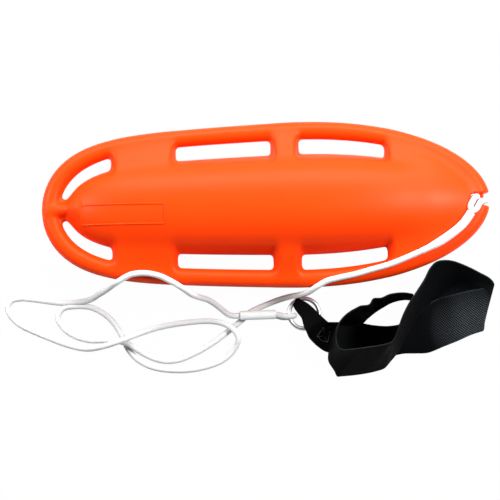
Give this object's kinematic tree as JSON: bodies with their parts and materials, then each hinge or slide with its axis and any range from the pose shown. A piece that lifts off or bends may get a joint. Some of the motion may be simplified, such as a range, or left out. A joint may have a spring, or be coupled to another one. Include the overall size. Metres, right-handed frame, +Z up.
{
  "type": "rescue can buoy",
  "caption": "Torpedo-shaped rescue float with a grab rail all round, a tow rope spliced through its nose, and a ring with a dark webbing shoulder strap.",
  "frame": {"origin": "on the flat of the belly, under the middle of the float's length", "axes": "+X along the float from tail to nose, +Z up from the belly to the back, +Y across the float, away from the rope and strap"},
  "size_m": [0.7903, 0.3988, 0.13],
  "materials": {
    "hull_plastic": "orange moulded polyethylene, satin",
    "foam": "cream closed-cell foam",
    "plug_plastic": "orange moulded plug",
    "gasket_rubber": "black rubber",
    "rope": "white braided rope",
    "sleeve_plastic": "white shrunk tube",
    "ring_metal": "smooth steel wire",
    "webbing": "dark woven webbing",
    "thread": "dark sewing thread"
  },
  "bodies": {
    "float": {"upper_shell": "hull_plastic", "lower_shell": "hull_plastic", "foam_core": "foam", "fill_plug": "plug_plastic", "plug_gasket": "gasket_rubber", "nose_eye": "rope", "eye_splice": "rope", "tow_rope": "rope", "rope_sleeve": "sleeve_plastic", "ring_eye": "rope"},
    "ring": {"tow_ring": "ring_metal"},
    "strap": {"strap_fold": "webbing", "strap_stitching": "thread", "shoulder_strap": "webbing"}
  },
  "joints": [
    {"name": "ring_swing", "type": "hinge", "parent": "float", "child": "ring", "pos_m": [0.0335, -0.173, 0.0136], "axis": [0, 0, 1], "range_deg": [-15, 0]},
    {"name": "strap_swing", "type": "hinge", "parent": "ring", "child": "strap", "pos_m": [0.058, -0.173, 0.0136], "axis": [0, 0, 1], "range_deg": [-35, 0]}
  ]
}
